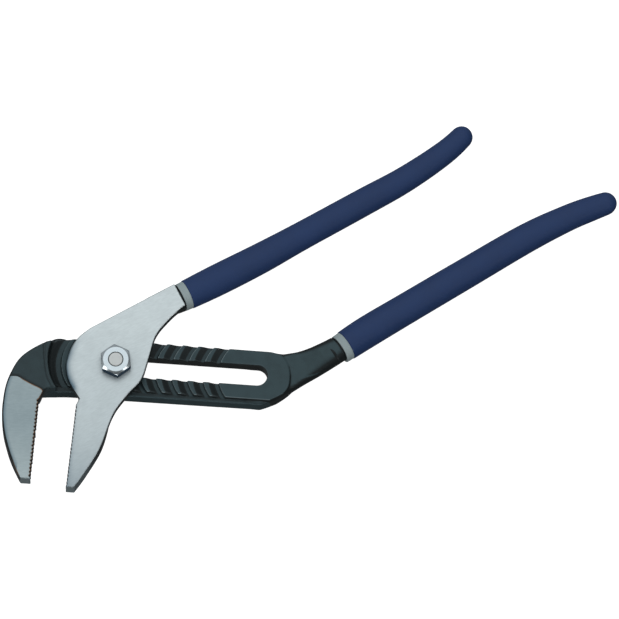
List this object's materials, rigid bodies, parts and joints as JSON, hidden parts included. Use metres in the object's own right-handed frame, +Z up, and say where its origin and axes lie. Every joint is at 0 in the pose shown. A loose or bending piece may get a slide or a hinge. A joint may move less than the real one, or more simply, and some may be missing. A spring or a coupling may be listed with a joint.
{
  "type": "tongue and groove pliers",
  "caption": "Large tongue and groove pliers: black slotted lever with a grooved rack, bright ground lever with a toothed jaw, hexagon pivot nut and blue sleeved handles.",
  "frame": {"origin": "on the pivot axis at rest, at the flat back of the bolt head, which is the plane the tool lies on", "axes": "+X along the slot from the jaws to the handles, +Y towards the side the front handle is on, +Z up through the pivot nut"},
  "size_m": [0.3808, 0.2603, 0.0311],
  "materials": {
    "black_oxide": "black oxide on a forging, satin",
    "ground_steel": "flat ground, fine straight grain",
    "bright_zinc": "bright zinc plate",
    "blue_vinyl": "dipped vinyl, satin",
    "grey_vinyl": "dipped vinyl, matt"
  },
  "bodies": {
    "rear_lever": {"rear_lever": "black_oxide", "rear_grip": "blue_vinyl", "rear_grip_liner": "grey_vinyl"},
    "pivot": {"pivot_bolt": "bright_zinc", "pivot_nut": "bright_zinc"},
    "front_lever": {"front_lever": "ground_steel", "front_grip": "blue_vinyl", "front_grip_liner": "grey_vinyl"}
  },
  "joints": [
    {"name": "groove_slide", "type": "slide", "parent": "rear_lever", "child": "pivot", "axis": [1, 0, 0], "range_m": [-0.01, 0.05]},
    {"name": "lever_hinge", "type": "hinge", "parent": "pivot", "child": "front_lever", "pos_m": [0, 0, 0.02], "axis": [0, 0, 1], "range_deg": [-6.5, 55]}
  ]
}
